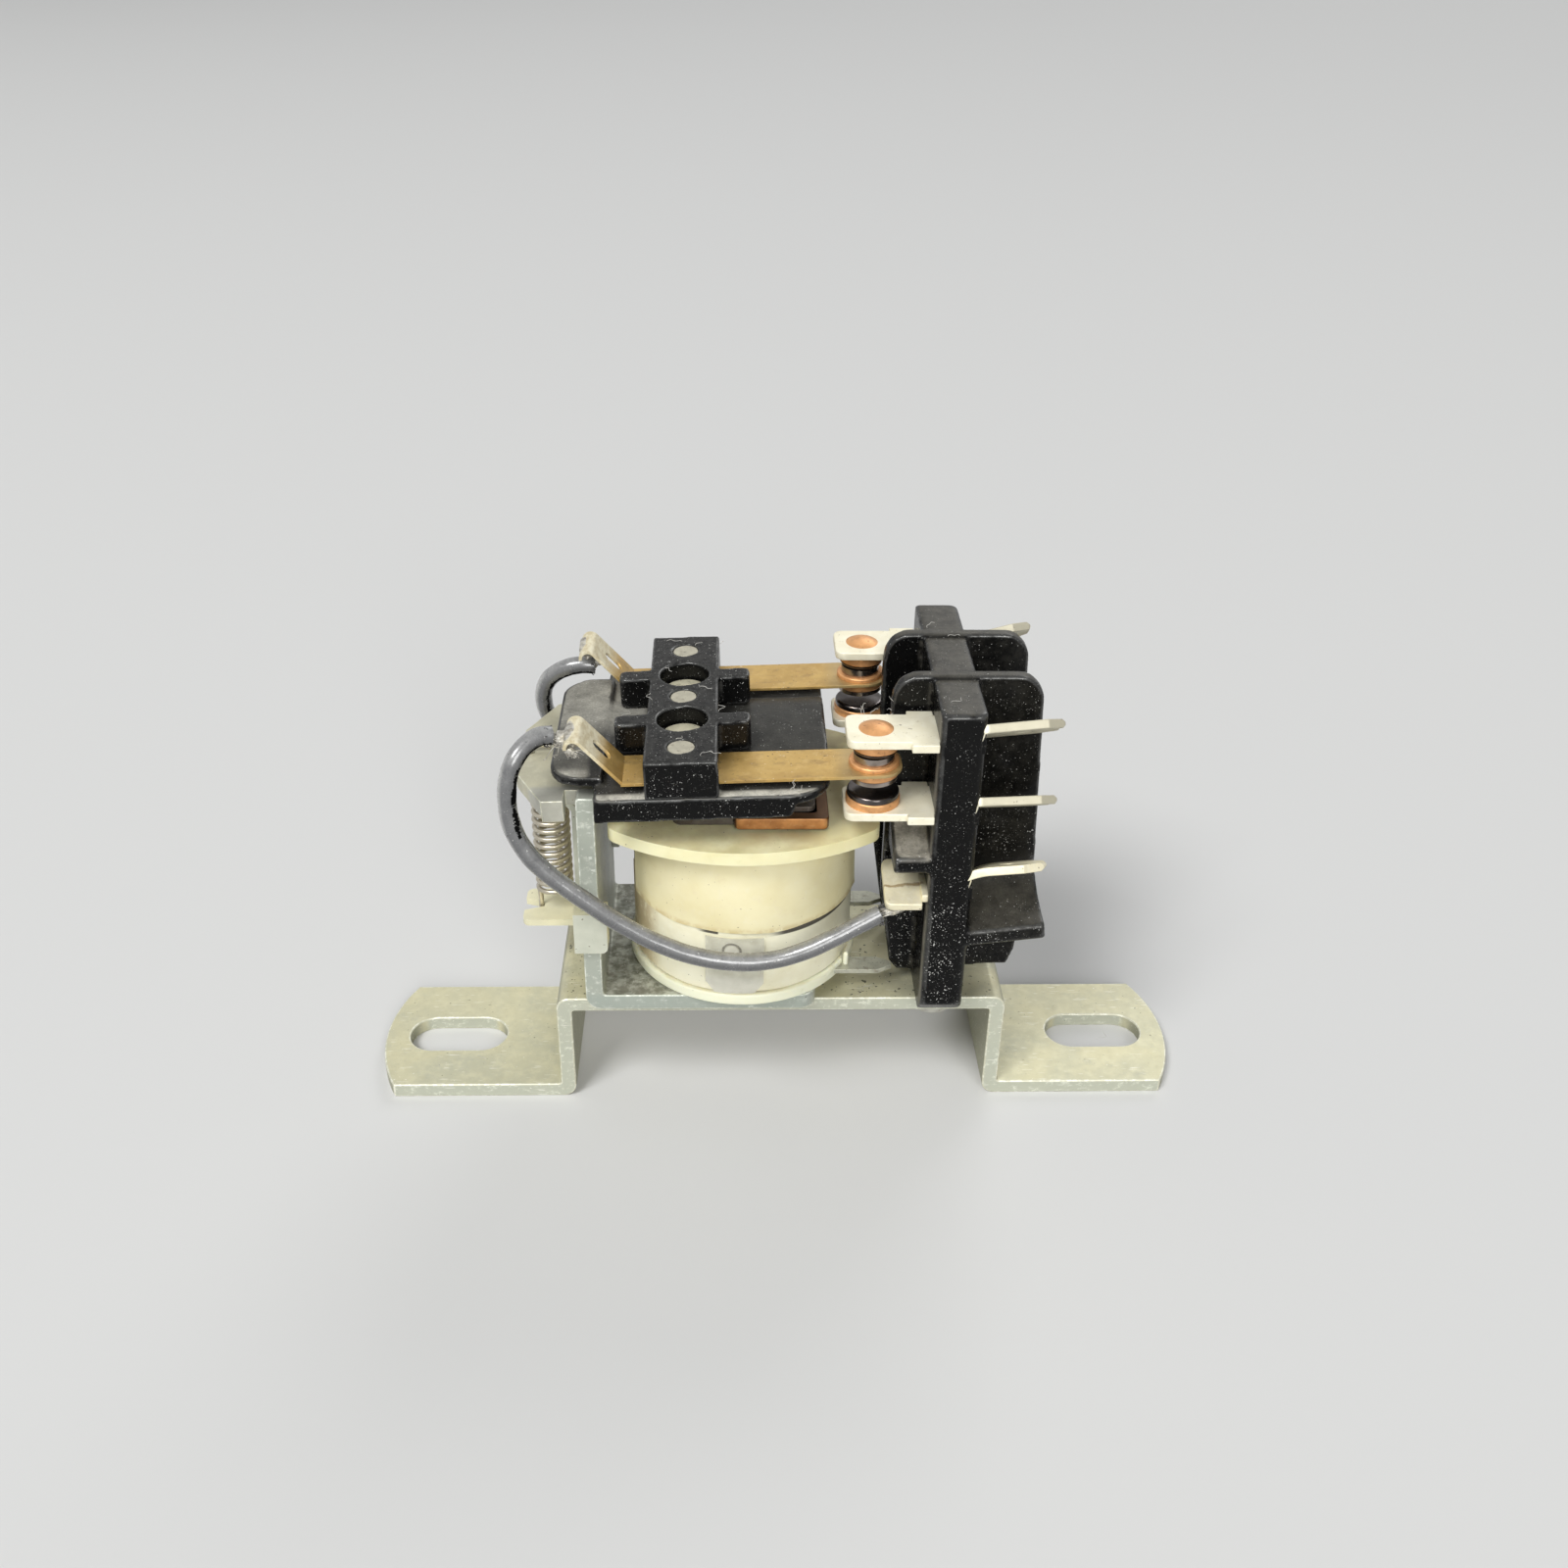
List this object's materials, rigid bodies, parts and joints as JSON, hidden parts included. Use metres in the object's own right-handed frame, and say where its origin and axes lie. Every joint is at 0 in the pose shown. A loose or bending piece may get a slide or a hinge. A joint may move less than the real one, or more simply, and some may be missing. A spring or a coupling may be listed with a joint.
{
  "type": "general purpose relay",
  "caption": "Open-frame two-pole changeover relay on a slotted hat-section bracket, with a hinged armature, return spring and push-on tabs.",
  "frame": {"origin": "middle of the bracket on its mounting face, which is the lowest plane of the part; the pigtails aren't counted", "axes": "+X along the bracket from the spring end to the tab end, +Y from the front pole to the rear pole, +Z away from the mounting face"},
  "size_m": [0.0816, 0.0284, 0.046],
  "materials": {
    "bracket_plate": "zinc chromate plated, dull, dusty",
    "frame_steel": "zinc plated, dull",
    "copper": "aged copper",
    "silver": "tarnished silver contact faces",
    "nylon": "aged cream nylon",
    "winding_tape": "amber winding tape",
    "label_paper": "aged cream paper",
    "clear_tape": "aged clear tape",
    "tinned_brass": "tinned, dull",
    "phenolic": "black moulding, semi-gloss, dusty",
    "screw_steel": "plated steel",
    "spring_steel": "bright spring wire",
    "blade_brass": "aged brass strip",
    "solder": "dull solder",
    "wire_sleeve": "dark grey sleeve, dusty"
  },
  "bodies": {
    "root": {"mounting_bracket": "bracket_plate", "magnet_frame": "frame_steel", "core": "frame_steel", "shading_ring": "copper", "bobbin": "nylon", "coil_winding": "winding_tape", "upper_label": "label_paper", "lower_label": "label_paper", "tape_patch": "clear_tape", "coil_terminals": "tinned_brass", "coil_leads": "copper", "terminal_block": "phenolic", "block_screws": "screw_steel", "front_nc_terminal": "tinned_brass", "rear_nc_terminal": "tinned_brass", "front_no_terminal": "tinned_brass", "rear_no_terminal": "tinned_brass", "front_com_terminal": "tinned_brass", "rear_com_terminal": "tinned_brass", "nc_contacts": "copper", "nc_contact_faces": "silver", "no_contacts": "copper", "no_contact_faces": "silver", "spring_bracket": "frame_steel", "return_spring": "spring_steel", "terminal_solder": "solder", "front_pigtail": "wire_sleeve", "rear_pigtail": "wire_sleeve"},
    "armature_assembly": {"armature": "frame_steel", "armature_carrier": "phenolic", "blade_clamp": "phenolic", "clamp_rivets": "screw_steel", "armature_rivets": "screw_steel", "front_blade": "blade_brass", "rear_blade": "blade_brass", "moving_contacts": "copper", "moving_contact_faces": "silver", "blade_solder": "solder"}
  },
  "joints": [
    {"name": "armature_hinge", "type": "hinge", "parent": "root", "child": "armature_assembly", "pos_m": [-0.01885, 0, 0.03408], "axis": [0, 1, 0], "range_deg": [0, 2.1], "stiffness_Nm_per_rad": 0.02, "springref_deg": -11.46, "deforming": ["return_spring", "front_pigtail", "rear_pigtail"]}
  ]
}
